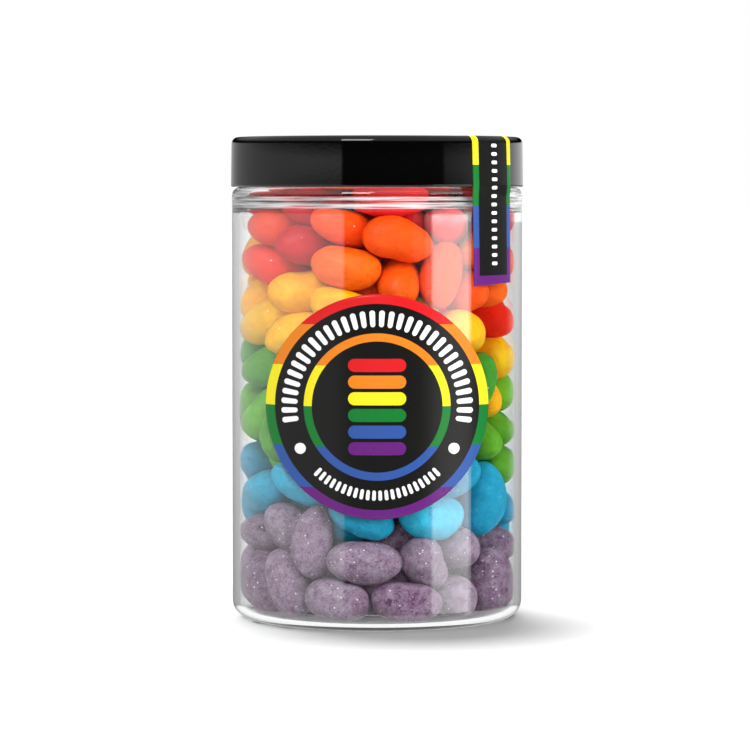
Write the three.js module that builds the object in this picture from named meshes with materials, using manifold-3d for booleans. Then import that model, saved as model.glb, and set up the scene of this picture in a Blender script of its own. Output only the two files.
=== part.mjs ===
// A clear plastic jar of jelly beans: a straight-sided jar with a screw neck, its black screw lid, a round
// label on the front, a seal strip over the lid's edge, and six layers of beans, one colour above another.
// Millimetres, +Z up. The origin is the centre of the base, and the round label faces -Y.
import * as THREE from "three";
import { mergeVertices } from "three/addons/utils/BufferGeometryUtils.js";
import Module from "manifold-3d";

const wasm = await Module();
wasm.setup();

// ---- Driving dimensions ----

const fit = 0.3; // gap between parts that touch
const turnSegments = 48; // flats around the jar and the lid

const jar = {
  radius: 42.5,
  wall: 2,
  height: 138.5, // to the rim of the neck
  shoulderTop: 126,
  shoulderRound: 2.5,
  heelRound: 5,
  floor: 2, // thickness under the beans
  pushUp: 1.2, // how far the middle of the base is raised off the table
  pushUpRadius: 30,
  ringRadius: 33, // where the flat foot ring begins
};
jar.inside = jar.radius - jar.wall;

const neck = {
  radius: 40,
  inside: 38.6,
  flareTop: 124, // below this the inside opens out to the full width
  flareBottom: 118.9,
  rimRound: 0.5,
};

const thread = {
  pitch: 4.2,
  turns: 1.15,
  depth: 0.8,
  root: 2.2, // width where it leaves the wall
  crest: 0.9, // width at its edge
  start: 129.2, // height of the jar's thread at its lower end
  bite: 0.3, // how far its foot reaches into the wall
  stepsPerTurn: 30,
};

const lid = {
  radius: 42.8,
  draft: 0.2, // how much narrower it is at the top
  bottom: jar.shoulderTop + fit,
  height: 14.2,
  topThickness: 1.7,
  inside: 41.1,
  edgeRound: 1.9,
  lipRound: 0.5,
};
lid.top = lid.bottom + lid.height;

const paper = { gap: 0.1, thickness: 0.2 };
const label = { radius: 31.8, middle: 64.1, steps: 64 };
const strip = {
  width: 18,
  azimuth: THREE.MathUtils.degToRad(51.5), // from the front towards +X
  bottom: 98.2,
  reachOnTop: 28, // how far it runs in from the lid's edge
  across: 6, // flats across its width
};

const bean = { length: 21, width: 12.6 };
const heap = {
  radius: jar.inside - fit,
  reach: jar.inside - fit - 0.1, // of the beans that stand out most
  neckRadius: neck.inside - fit,
  bottom: jar.floor + fit,
  top: 135.6,
  lumpDepth: 2.6,
  segments: 40,
  beansAround: 13,
  rowSpacing: 10.6,
};

// Each colour's upper edge at the wall, and how much higher it lies on the left (-X) than in the middle.
const layers = [
  { name: "beans_purple", top: 28, tilt: 2.5, wave: 1.6, colour: 0x876996 },
  { name: "beans_blue", top: 48, tilt: 2, wave: 1.5, colour: 0x0497b6 },
  { name: "beans_green", top: 74, tilt: 7, wave: 1.6, colour: 0x58a52c },
  { name: "beans_yellow", top: 91, tilt: 7, wave: 2, colour: 0xf1bb08 },
  { name: "beans_orange", top: 111, tilt: 3, wave: 2, colour: 0xfc6414 },
  { name: "beans_red", top: heap.top, tilt: 0, wave: 0, colour: 0xd5142c },
];

// ---- Shapes ----

const point = (r, z) => new THREE.Vector2(r, z);

// Points of an arc about (r, z), from angle a to angle b in degrees.
function arc(r, z, radius, a, b, steps) {
  return Array.from({ length: steps + 1 }, (_, i) => {
    const angle = THREE.MathUtils.degToRad(a + ((b - a) * i) / steps);
    return point(r + radius * Math.cos(angle), z + radius * Math.sin(angle));
  });
}

// An S-shaped run of points from (r1, z1) to (r2, z2), upright at both ends.
function flare(r1, z1, r2, z2, steps) {
  return Array.from({ length: steps + 1 }, (_, i) => {
    const t = i / steps;
    const ease = (1 - Math.cos(Math.PI * t)) / 2;
    return point(r1 + (r2 - r1) * ease, z1 + (z2 - z1) * t);
  });
}

// A profile turned about +Z. Azimuth 0 is the front, -Y, and it grows towards +X.
function turned(profile, segments = turnSegments) {
  return new THREE.LatheGeometry(profile, segments).rotateX(Math.PI / 2);
}

function solidOf(geometry) {
  const bare = geometry.clone();
  bare.deleteAttribute("normal");
  bare.deleteAttribute("uv");
  const merged = mergeVertices(bare, 1e-3);
  return new wasm.Manifold(
    new wasm.Mesh({
      numProp: 3,
      vertProperties: merged.attributes.position.array,
      triVerts: new Uint32Array(merged.index.array),
    }),
  );
}

function geometryOf(solid) {
  const mesh = solid.getMesh();
  return new THREE.BufferGeometry()
    .setAttribute("position", new THREE.BufferAttribute(new Float32Array(mesh.vertProperties), 3))
    .setIndex(new THREE.BufferAttribute(new Uint32Array(mesh.triVerts), 1));
}

// A closed strip between two surfaces, outer and inner, both given as at(i, j) for i and j from 0.
function plate(rows, columns, outer, inner) {
  const positions = [];
  const index = [];
  for (const surface of [outer, inner])
    for (let i = 0; i <= rows; i++)
      for (let j = 0; j <= columns; j++) positions.push(...surface(i, j));
  const width = columns + 1;
  const back = (rows + 1) * width;
  const quad = (a, b, c, d) => index.push(a, b, c, a, c, d);
  for (let i = 0; i < rows; i++)
    for (let j = 0; j < columns; j++) {
      const a = i * width + j;
      quad(a, a + 1, a + width + 1, a + width);
      quad(back + a, back + a + width, back + a + width + 1, back + a + 1);
    }
  for (let i = 0; i < rows; i++) {
    const left = i * width;
    const right = left + columns;
    quad(left, left + width, back + left + width, back + left);
    quad(right, back + right, back + right + width, right + width);
  }
  for (let j = 0; j < columns; j++) {
    const first = j;
    const last = rows * width + j;
    quad(first, back + first, back + first + 1, first + 1);
    quad(last, last + 1, back + last + 1, back + last);
  }
  return new THREE.BufferGeometry()
    .setAttribute("position", new THREE.Float32BufferAttribute(positions, 3))
    .setIndex(index);
}

// One helical ridge on a wall. side is 1 where it stands outwards and -1 where it stands inwards.
function threadRidge(wallRadius, side, start) {
  const steps = Math.round(thread.turns * thread.stepsPerTurn);
  const corners = [
    [-thread.bite, -thread.root / 2],
    [thread.depth, -thread.crest / 2],
    [thread.depth, thread.crest / 2],
    [-thread.bite, thread.root / 2],
  ];
  const positions = [];
  const index = [];
  for (let i = 0; i <= steps; i++) {
    const turn = i / thread.stepsPerTurn;
    const fade = Math.min(1, (i + 1) / 4, (steps - i + 1) / 4); // the ends run out into the wall
    for (const [out, up] of corners) {
      const stands = out > 0 ? out * fade : out;
      const r = wallRadius + side * stands;
      const z = start + thread.pitch * turn + up;
      const angle = 2 * Math.PI * turn;
      positions.push(r * Math.sin(angle), -r * Math.cos(angle), z);
    }
  }
  const face = (a, b, c) => index.push(...(side > 0 ? [a, b, c] : [a, c, b]));
  for (let i = 0; i < steps; i++)
    for (let k = 0; k < 4; k++) {
      const a = 4 * i + k;
      const b = 4 * i + ((k + 1) % 4);
      face(a, a + 4, b);
      face(b, a + 4, b + 4);
    }
  const end = 4 * steps;
  face(0, 1, 2);
  face(0, 2, 3);
  face(end, end + 2, end + 1);
  face(end, end + 3, end + 2);
  return new THREE.BufferGeometry()
    .setAttribute("position", new THREE.Float32BufferAttribute(positions, 3))
    .setIndex(index);
}

// ---- The jar ----

// The blown body in one piece: foot ring, raised base, heel, wall, shoulder, neck and rim.
function jarProfile() {
  const { radius, inside, wall, floor, pushUp, pushUpRadius, ringRadius, heelRound } = jar;
  const innerHeel = heelRound - wall;
  const under = [point(0, pushUp), point(pushUpRadius, pushUp), point(ringRadius, 0)];
  const outside = [
    ...arc(radius - heelRound, heelRound, heelRound, -90, 0, 4),
    ...arc(radius - jar.shoulderRound, jar.shoulderTop - jar.shoulderRound, jar.shoulderRound, 0, 90, 3),
    point(neck.radius, jar.shoulderTop),
    ...arc(neck.radius - neck.rimRound, jar.height - neck.rimRound, neck.rimRound, 0, 90, 1),
  ];
  const within = [
    ...arc(neck.inside + neck.rimRound, jar.height - neck.rimRound, neck.rimRound, 90, 180, 1),
    ...flare(neck.inside, neck.flareTop, inside, neck.flareBottom, 4),
    ...arc(inside - innerHeel, floor + innerHeel, innerHeel, 0, -90, 3),
    point(ringRadius, floor),
    point(pushUpRadius, floor + pushUp),
    point(0, floor + pushUp),
  ];
  return [...under, ...outside, ...within];
}

function jarGeometry() {
  const body = solidOf(turned(jarProfile()));
  return geometryOf(body.add(solidOf(threadRidge(neck.radius, 1, thread.start))));
}

// ---- The lid ----

// A cap with a smooth, slightly drafted skirt, and the matching thread just under the jar's.
function lidGeometry() {
  const upper = lid.radius - lid.draft;
  const profile = [
    point(0, lid.top - lid.topThickness),
    point(lid.inside, lid.top - lid.topThickness),
    point(lid.inside, lid.bottom),
    ...arc(lid.radius - lid.lipRound, lid.bottom + lid.lipRound, lid.lipRound, -90, 0, 2),
    ...arc(upper - lid.edgeRound, lid.top - lid.edgeRound, lid.edgeRound, 0, 90, 5),
    point(0, lid.top),
  ];
  const cap = solidOf(turned(profile));
  const ridge = solidOf(threadRidge(lid.inside, -1, thread.start - thread.pitch / 2));
  return geometryOf(cap.add(ridge));
}

// ---- The labels ----

// The round label: a disc as seen from the front, wrapped on the wall.
function labelGeometry() {
  const inner = jar.radius + paper.gap;
  const outer = inner + paper.thickness;
  const low = label.middle - label.radius - 1;
  const high = label.middle + label.radius + 1;
  const sleeve = [point(inner, low), point(outer, low), point(outer, high), point(inner, high), point(inner, low)];
  const disc = new THREE.CylinderGeometry(label.radius, label.radius, 2 * jar.radius, label.steps);
  disc.translate(0, -jar.radius, label.middle);
  return geometryOf(solidOf(turned(sleeve)).intersect(solidOf(disc)));
}

// The seal strip's run in the plane of its middle line, from its lower end to its end on the lid:
// [distance from the axis, height, outward direction in degrees above the horizon].
function stripRun(gap) {
  const wallRadius = jar.radius + gap;
  const lidRadius = lid.radius + gap;
  const upperRadius = lid.radius - lid.draft + gap;
  const centre = lid.radius - lid.draft - lid.edgeRound;
  const bend = lid.edgeRound + gap;
  const wall = [strip.bottom, 105, 111, 117, jar.shoulderTop - jar.shoulderRound].map((z) => [wallRadius, z]);
  const skirt = [
    [lidRadius, lid.bottom + lid.lipRound],
    [(lidRadius + upperRadius) / 2, lid.bottom + lid.height / 2],
  ];
  const edge = arc(centre, lid.top - lid.edgeRound, bend, 0, 90, 5).map((p) => [p.x, p.y]);
  const farEnd = lid.radius - strip.reachOnTop;
  const top = [0.33, 0.67, 1].map((t) => [centre + (farEnd - centre) * t, lid.top + gap]);
  return [...wall, ...skirt, ...edge, ...top];
}

function stripGeometry() {
  const inner = stripRun(paper.gap);
  const outer = stripRun(paper.gap + paper.thickness);
  const edgeRadius = lid.radius - lid.draft - lid.edgeRound;
  // On the walls the strip wraps round the axis. On the flat top it runs straight in.
  const surface = (run) => (i, j) => {
    const [r, z] = run[i];
    const aside = strip.width * (j / strip.across - 0.5);
    const turn = aside / jar.radius;
    const onTop = THREE.MathUtils.clamp((edgeRadius - r) / 4, 0, 1);
    const along = THREE.MathUtils.lerp(r * Math.cos(turn), r, onTop);
    const across = THREE.MathUtils.lerp(r * Math.sin(turn), aside, onTop);
    const s = Math.sin(strip.azimuth);
    const c = Math.cos(strip.azimuth);
    return [along * s + across * c, -along * c + across * s, z];
  };
  return plate(inner.length - 1, strip.across, surface(outer), surface(inner));
}

// ---- The beans ----

// How far the bean nearest to a place on the wall stands out there, from 0 in the gaps to 1.
// The beans lie in staggered rows, and each leans its own way.
function lump(azimuth, z) {
  const rows = Math.ceil((heap.top - heap.bottom) / heap.rowSpacing);
  let most = 0;
  for (let row = 0; row <= rows; row++)
    for (let k = 0; k < heap.beansAround; k++) {
      const number = row * heap.beansAround + k;
      const place = (2 * Math.PI * (k + 0.5 * (row % 2))) / heap.beansAround;
      const turn = Math.atan2(Math.sin(azimuth - place), Math.cos(azimuth - place));
      const aside = turn * heap.radius;
      const up = z - heap.bottom - heap.rowSpacing * row;
      const lean = 0.9 * Math.sin(2.4 * number);
      const along = aside * Math.cos(lean) + up * Math.sin(lean);
      const over = up * Math.cos(lean) - aside * Math.sin(lean);
      const away = Math.hypot((2 * along) / bean.length, (2 * over) / bean.width);
      if (away < 1) most = Math.max(most, Math.sqrt(1 - away * away));
    }
  return most;
}

// Height of the border above a layer. It is level at the axis and wavy at the wall.
function borderHeight(layer, azimuth, r) {
  const wave = layer.wave * Math.sin(3 * azimuth + layer.top) - layer.tilt * Math.sin(azimuth);
  return layer.top + (wave * r) / heap.radius;
}

// The room the beans have: the jar's inside, less the fit.
function roomProfile() {
  const innerHeel = jar.heelRound - jar.wall;
  const { bottom, radius } = heap;
  return [
    point(0, bottom + jar.pushUp),
    point(jar.pushUpRadius, bottom + jar.pushUp),
    point(jar.ringRadius, bottom),
    ...arc(jar.inside - innerHeel, jar.floor + innerHeel, innerHeel - fit, -90, 0, 2),
    ...flare(radius, neck.flareBottom, heap.neckRadius, neck.flareTop, 3),
    point(heap.neckRadius, heap.top + 1),
    point(0, heap.top + 1),
  ];
}

// One colour's layer, between the border below it and its own, out to the lumpy outline of its beans.
// The room trims it where the jar narrows, at the heel and the neck.
function layerGeometry(number) {
  const layer = layers[number];
  const below = layers[number - 1];
  const sideSteps = 4;
  const innerRing = 0.62;
  // v runs from the axis along the layer's floor, up its side, and back along its top.
  const profile = [
    point(0, 0),
    point(innerRing, 0),
    ...Array.from({ length: sideSteps + 1 }, (_, i) => point(1, i / sideSteps)),
    point(innerRing, 1),
    point(0, 1),
  ];
  const geometry = turned(profile, heap.segments);
  const place = geometry.getAttribute("position");
  for (let i = 0; i < place.count; i++) {
    const share = Math.hypot(place.getX(i), place.getY(i));
    const azimuth = share > 1e-6 ? Math.atan2(place.getX(i), -place.getY(i)) : 0;
    const flat = share * heap.radius;
    const low = below ? borderHeight(below, azimuth, flat) + fit : heap.bottom;
    const high = borderHeight(layer, azimuth, flat);
    const z = THREE.MathUtils.lerp(low, high, place.getZ(i));
    const r = share * (heap.reach - heap.lumpDepth * (1 - lump(azimuth, z)));
    place.setXYZ(i, r * Math.sin(azimuth), -r * Math.cos(azimuth), z);
  }
  return geometryOf(solidOf(geometry).intersect(solidOf(turned(roomProfile(), heap.segments))));
}

// ---- The object ----

const finish = (colour, roughness, more = {}) =>
  new THREE.MeshStandardMaterial({ color: colour, roughness, metalness: 0, ...more });

const group = new THREE.Group();
function add(name, geometry, material) {
  const mesh = new THREE.Mesh(geometry, material);
  mesh.name = name;
  group.add(mesh);
}

add("jar", jarGeometry(), finish(0xf4f6f7, 0.05, { transparent: true, opacity: 0.25 }));
add("lid", lidGeometry(), finish(0x0b0b0c, 0.15));
add("round_label", labelGeometry(), finish(0x1d1d1b, 0.35));
add("seal_strip", stripGeometry(), finish(0x1d1d1b, 0.35));
layers.forEach((layer, number) => add(layer.name, layerGeometry(number), finish(layer.colour, 0.4)));

export default group;
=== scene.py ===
"""The looks of a clear jar of jelly beans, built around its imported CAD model.

The jar, its lid and its labels are turned or wrapped again with fine meshes. The six bean layers become
real beans: they are packed into the jar by pushing overlapping beans apart, and each is modelled with its
own length, taper, bend and lumps.
"""

import math

import bpy
import numpy as np
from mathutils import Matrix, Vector


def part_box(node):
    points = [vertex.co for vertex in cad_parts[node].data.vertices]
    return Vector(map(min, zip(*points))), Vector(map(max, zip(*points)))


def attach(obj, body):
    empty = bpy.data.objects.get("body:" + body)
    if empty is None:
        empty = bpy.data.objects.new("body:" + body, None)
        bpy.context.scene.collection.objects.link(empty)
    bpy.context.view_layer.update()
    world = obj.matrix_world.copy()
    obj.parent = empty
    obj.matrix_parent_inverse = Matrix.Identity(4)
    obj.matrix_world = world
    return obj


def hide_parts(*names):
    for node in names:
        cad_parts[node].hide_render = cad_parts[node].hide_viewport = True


MM = 0.001

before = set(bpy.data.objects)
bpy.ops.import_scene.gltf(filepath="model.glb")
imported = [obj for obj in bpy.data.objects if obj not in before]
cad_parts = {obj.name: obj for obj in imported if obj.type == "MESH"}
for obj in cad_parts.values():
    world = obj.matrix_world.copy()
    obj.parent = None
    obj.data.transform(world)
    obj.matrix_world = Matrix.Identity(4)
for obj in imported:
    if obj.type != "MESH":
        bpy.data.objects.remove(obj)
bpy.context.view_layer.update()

# ---- Sizes, in millimetres ----

jar_low, jar_high = (np.array(corner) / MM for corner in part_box("jar"))
lid_low, lid_high = (np.array(corner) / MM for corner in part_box("lid"))
label_low, label_high = (np.array(corner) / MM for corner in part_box("round_label"))
strip_low, strip_high = (np.array(corner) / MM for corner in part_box("seal_strip"))

JAR_RADIUS = jar_high[0]
JAR_TOP = jar_high[2]
WALL = 2.0
INSIDE = JAR_RADIUS - WALL
FLOOR = 2.0
PUSH_UP = 1.2  # how far the middle of the base is raised
PUSH_UP_RADIUS = 30.0
RING_RADIUS = 33.0  # where the flat foot ring begins
HEEL_ROUND = 5.0
SHOULDER_TOP = 126.0
SHOULDER_ROUND = 2.5
NECK_RADIUS = 40.0
NECK_INSIDE = 38.6
NECK_FLARE_TOP = 124.0  # below this the inside opens out to the full width
NECK_FLARE_TILT = 38  # the flare's steepest lean from upright, in degrees
RIM_ROUND = 0.8

LID_RADIUS = lid_high[0]
LID_BOTTOM = lid_low[2]
LID_TOP = lid_high[2]
LID_DRAFT = 0.2
LID_THICKNESS = 1.7
LID_INSIDE = 41.1
LID_EDGE_ROUND = 1.9
LID_LIP_ROUND = 0.5

THREAD_PITCH = 4.2
THREAD_TURNS = 1.15
THREAD_DEPTH = 0.8
THREAD_START = 129.2

PAPER_GAP = 0.012
PAPER = 0.045  # thickness of both stickers
LABEL_RADIUS = (label_high[0] - label_low[0]) / 2
LABEL_MIDDLE = (label_high[2] + label_low[2]) / 2
STRIP_WIDTH = 18.0
STRIP_BOTTOM = strip_low[2]
STRIP_AZIMUTH = math.radians(51.2)
STRIP_ON_TOP = 28.0
STRIP_LEAN = math.radians(1.2)
STRIP_SLANT = 0.04  # how much its lower edge climbs to the right

LATHE_SEGMENTS = 192


# ---- Meshes ----


def arc(r, z, radius, start, end, steps):
    """Points of an arc about (r, z), from start to end in degrees."""
    angles = np.radians(np.linspace(start, end, steps + 1))
    return [(r + radius * math.cos(a), z + radius * math.sin(a)) for a in angles]


def flare(narrow, wide, top, tilt, steps):
    """An S-shaped run down from one radius to a wider one: two arcs that meet at a tilt from upright."""
    angle = math.radians(tilt)
    bend = (wide - narrow) / 2 / (1 - math.cos(angle))
    bottom = top - 2 * bend * math.sin(angle)
    turns = np.linspace(0, angle, steps + 1)
    upper = [(narrow + bend * (1 - math.cos(t)), top - bend * math.sin(t)) for t in turns]
    lower = [(wide - bend * (1 - math.cos(t)), bottom + bend * math.sin(t)) for t in turns[-2::-1]]
    return upper + lower


def upright(r, low, high, step):
    """Points up or down a wall, about step apart, for a surface that a thread is drawn on."""
    count = max(1, round(abs(high - low) / step))
    return [(r, z) for z in np.linspace(low, high, count + 1)]


def make_object(name, vertices, faces, materials, smooth=True):
    """A mesh object from vertices in millimetres."""
    mesh = bpy.data.meshes.new(name)
    mesh.from_pydata(np.asarray(vertices) * MM, [], faces)
    for material in materials:
        mesh.materials.append(material)
    mesh.polygons.foreach_set("use_smooth", np.full(len(mesh.polygons), smooth))
    mesh.update()
    piece = bpy.data.objects.new(name, mesh)
    bpy.context.scene.collection.objects.link(piece)
    return piece


def turned(name, profile, material, push=None, segments=LATHE_SEGMENTS):
    """A profile turned about Z, from axis to axis. push(number, azimuths, z) says how far out its points
    move."""
    azimuths = np.arange(segments) * 2 * np.pi / segments
    vertices = [(0, 0, profile[0][1])]
    for number, (r, z) in enumerate(profile[1:-1], 1):
        out = np.full(segments, r) if push is None else r + push(number, azimuths, z)
        rows = np.stack([out * np.sin(azimuths), -out * np.cos(azimuths), np.full(segments, z)], axis=1)
        vertices.extend(rows.tolist())
    last = len(vertices)
    vertices.append((0, 0, profile[-1][1]))
    faces = []
    rings = len(profile) - 2
    for j in range(segments):
        k = (j + 1) % segments
        faces.append((0, 1 + k, 1 + j))
        for ring in range(rings - 1):
            low = 1 + ring * segments
            high = low + segments
            faces.append((low + j, low + k, high + k, high + j))
        top = 1 + (rings - 1) * segments
        faces.append((top + j, top + k, last))
    return make_object(name, vertices, faces, [material])


def thread_height(azimuth, z, start):
    """How far a thread stands at these places on a wall: 0 off the ridge, THREAD_DEPTH on its crest."""
    most = np.zeros_like(azimuth)
    for turn in range(math.ceil(THREAD_TURNS) + 1):
        along = azimuth / (2 * np.pi) + turn
        off = np.abs(z - start - THREAD_PITCH * along)
        ridge = np.clip((1.1 - off) / 0.65, 0, 1)
        ends = np.clip(np.minimum(along, THREAD_TURNS - along) * 12, 0, 1)
        most = np.maximum(most, ridge * ends)
    return THREAD_DEPTH * most


def sheet(name, outer, inner, marks, materials):
    """A thin sheet between two grids of points. marks are the print's own coordinates, for its material."""
    rows, columns = outer.shape[:2]
    vertices = np.concatenate([outer.reshape(-1, 3), inner.reshape(-1, 3)])
    back = rows * columns
    faces = []
    for i in range(rows - 1):
        for j in range(columns - 1):
            a = i * columns + j
            faces.append((a, a + 1, a + columns + 1, a + columns))
            faces.append((back + a, back + a + columns, back + a + columns + 1, back + a + 1))
    fronts = len(faces)
    edge = [(0, j) for j in range(columns - 1)] + [(i, columns - 1) for i in range(rows - 1)]
    edge += [(rows - 1, j) for j in range(columns - 1, 0, -1)] + [(i, 0) for i in range(rows - 1, 0, -1)]
    loop = [i * columns + j for i, j in edge]
    for a, b in zip(loop, loop[1:] + loop[:1]):
        faces.append((a, back + a, back + b, b))
    piece = make_object(name, vertices, faces, materials)
    index = np.zeros(len(faces), dtype=np.int32)
    index[1:fronts:2] = 1
    piece.data.polygons.foreach_set("material_index", index)
    smooth = np.ones(len(faces), dtype=bool)
    smooth[fronts:] = False
    piece.data.polygons.foreach_set("use_smooth", smooth)
    print_place = piece.data.attributes.new("print_place", "FLOAT_VECTOR", "POINT")
    flat = marks.reshape(-1, 2)
    places = np.concatenate([flat, flat])
    places = np.column_stack([places, np.zeros(len(places))])
    print_place.data.foreach_set("vector", places.ravel())
    return piece


# ---- Materials ----


def linear(red, green, blue):
    """A colour given in sRGB from 0 to 255, as linear light."""
    share = np.array([red, green, blue]) / 255
    return tuple(np.where(share <= 0.04045, share / 12.92, ((share + 0.055) / 1.055) ** 2.4))


def new_material(name):
    """An empty material, its node tree and its output."""
    material = bpy.data.materials.new(name)
    material.use_nodes = True
    tree = material.node_tree
    tree.nodes.clear()
    output = tree.nodes.new("ShaderNodeOutputMaterial")
    return material, tree, output


def node(tree, kind, settings=None, **inputs):
    """A node with its properties set. An input is a value or another node's socket, by its name."""
    made = tree.nodes.new(kind)
    for key, value in (settings or {}).items():
        setattr(made, key, value)
    for key, value in inputs.items():
        socket = made.inputs[int(key[1:])] if key[0] == "_" else made.inputs[key.replace("_", " ")]
        connect(tree, socket, value)
    return made


def connect(tree, socket, value):
    if isinstance(value, bpy.types.NodeSocket):
        tree.links.new(value, socket)
    else:
        socket.default_value = value


def math_node(tree, operation, *values):
    """The result of a Math node."""
    made = tree.nodes.new("ShaderNodeMath")
    made.operation = operation
    for socket, value in zip(made.inputs, values):
        connect(tree, socket, value)
    return made.outputs[0]


def mix_colour(tree, factor, first, second, blend="MIX"):
    made = tree.nodes.new("ShaderNodeMix")
    made.data_type = "RGBA"
    made.blend_type = blend
    connect(tree, made.inputs[0], factor)
    connect(tree, made.inputs[6], first)
    connect(tree, made.inputs[7], second)
    return made.outputs[2]


def noise(tree, vector, scale, detail=2.0, roughness=0.5):
    made = node(tree, "ShaderNodeTexNoise", Vector=vector, Scale=scale, Detail=detail, Roughness=roughness)
    return made.outputs["Fac"]


def noise_colour(tree, vector, scale):
    """Noise in all three axes about 0, to bend another texture with."""
    made = node(tree, "ShaderNodeTexNoise", Vector=vector, Scale=scale, Detail=2.0)
    less = {"operation": "SUBTRACT"}
    return node(tree, "ShaderNodeVectorMath", less, _0=made.outputs["Color"], _1=(0.5, 0.5, 0.5)).outputs[0]


def spread(tree, value, low, high, to_low, to_high):
    """A value taken from one range to another, without leaving it."""
    ranges = {"_1": low, "_2": high, "_3": to_low, "_4": to_high}
    made = node(tree, "ShaderNodeMapRange", {"clamp": True}, _0=value, **ranges)
    return made.outputs[0]


def length_squared(tree, first, second):
    squares = [math_node(tree, "POWER", value, 2.0) for value in (first, second)]
    return math_node(tree, "ADD", *squares)


PAINTED_BAND_HEIGHTS = ((119.9, 121.6), (122.1, 123.2))  # heights of the two bands of painted reflection on the inside under the neck
PAINTED_BAND_EDGE = 0.15  # how softly they begin and end
PAINTED_BAND_STREAKS = (60, 60, 1900)  # streaks per metre of the noise in them, long in the level
PAINTED_BAND_STRENGTH = (0.1, 0.8)  # least and most of the white painted reflection in them


def painted_reflection_bands(tree, place):
    """How much white painted reflection the plastic shows, in place of bright reflections: only in two
    streaky bands on the inside, where the neck flares out.
    """
    x, y, up = node(tree, "ShaderNodeSeparateXYZ", Vector=place).outputs
    height = math_node(tree, "MULTIPLY", up, 1 / MM)
    radius = math_node(tree, "SQRT", length_squared(tree, x, y))
    on_inside = math_node(tree, "LESS_THAN", radius, (INSIDE + 1) * MM)
    stretched = node(tree, "ShaderNodeVectorMath", {"operation": "MULTIPLY"}, _0=place, _1=PAINTED_BAND_STREAKS)
    streaks = spread(tree, noise(tree, stretched.outputs[0], 1.0, 2), 0.35, 0.65, *PAINTED_BAND_STRENGTH)
    bands = None
    for low, high in PAINTED_BAND_HEIGHTS:
        rise = spread(tree, height, low - PAINTED_BAND_EDGE, low + PAINTED_BAND_EDGE, 0, 1)
        fall = spread(tree, height, high - PAINTED_BAND_EDGE, high + PAINTED_BAND_EDGE, 1, 0)
        band = math_node(tree, "MULTIPLY", rise, fall)
        bands = band if bands is None else either(tree, bands, band)
    return math_node(tree, "MULTIPLY", math_node(tree, "MULTIPLY", bands, streaks), on_inside)


def clear_plastic():
    """The jar's plastic, with two bands of white painted reflection on its inside under the neck. Lamps shine
    through it unbent, so that the beans are lit.
    """
    material, tree, output = new_material("clear_plastic")
    place = node(tree, "ShaderNodeTexCoord").outputs["Object"]
    smears = spread(tree, noise(tree, place, 40, 4), 0.5, 0.75, 0.012, 0.05)
    glass = node(
        tree,
        "ShaderNodeBsdfPrincipled",
        Base_Color=(0.985, 0.992, 0.995, 1),
        Roughness=smears,
        IOR=1.57,
        Transmission_Weight=1.0,
    )
    # painted reflection: a white diffuse surface mixed into the plastic in two bands, in place of the bright
    # reflections that show there
    white_reflection_paint = node(tree, "ShaderNodeBsdfDiffuse", Color=(0.95, 0.95, 0.95, 1))
    reflection_paint_share = painted_reflection_bands(tree, place)
    glass = node(tree, "ShaderNodeMixShader", _0=reflection_paint_share, _1=glass.outputs[0], _2=white_reflection_paint.outputs[0])
    lamp_light = node(tree, "ShaderNodeBsdfTransparent", Color=(0.96, 0.97, 0.97, 1))
    shadow_ray = node(tree, "ShaderNodeLightPath").outputs["Is Shadow Ray"]
    mixed = node(tree, "ShaderNodeMixShader", _0=shadow_ray, _1=glass.outputs[0], _2=lamp_light.outputs[0])
    connect(tree, output.inputs["Surface"], mixed.outputs[0])
    return material


def lid_plastic():
    """Black moulded plastic, glossy, with the faint orange peel of its mould."""
    material, tree, output = new_material("lid_plastic")
    place = node(tree, "ShaderNodeTexCoord").outputs["Object"]
    rub = noise(tree, place, 220, 5)
    peel = noise(tree, place, 900, 2)
    bump = node(tree, "ShaderNodeBump", Strength=0.03, Distance=0.0002, Height=peel)
    shader = node(
        tree,
        "ShaderNodeBsdfPrincipled",
        Base_Color=(0.001, 0.001, 0.0011, 1),
        Roughness=spread(tree, rub, 0.35, 0.8, 0.03, 0.08),
        IOR=1.5,
        Normal=bump.outputs[0],
    )
    connect(tree, output.inputs["Surface"], shader.outputs[0])
    return material


def label_shader(tree, colour):
    """Film sticker with a gloss varnish over its print."""
    place = node(tree, "ShaderNodeTexCoord").outputs["Object"]
    ripple = node(tree, "ShaderNodeBump", Strength=0.01, Distance=0.0002, Height=noise(tree, place, 300, 2))
    return node(
        tree,
        "ShaderNodeBsdfPrincipled",
        Base_Color=colour,
        Roughness=spread(tree, noise(tree, place, 120, 3), 0.3, 0.7, 0.27, 0.31),
        IOR=1.36,
        Normal=ripple.outputs[0],
    )


def label_back():
    """The white adhesive side of the stickers."""
    material, tree, output = new_material("label_back")
    place = node(tree, "ShaderNodeTexCoord").outputs["Object"]
    grain = noise(tree, place, 700, 3)
    colour = mix_colour(tree, grain, (0.78, 0.78, 0.76, 1), (0.84, 0.84, 0.83, 1))
    shader = node(tree, "ShaderNodeBsdfPrincipled", Base_Color=colour, Roughness=0.5)
    connect(tree, output.inputs["Surface"], shader.outputs[0])
    return material


PRINT_BLACK = (*linear(15, 15, 14), 1)
PRINT_WHITE = (*linear(224, 224, 224), 1)
PRINT_COLOURS = [  # from the bottom up
    linear(88, 23, 106),
    linear(41, 74, 141),
    linear(11, 107, 40),
    linear(216, 204, 22),
    linear(207, 115, 18),
    linear(193, 16, 22),
]


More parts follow.
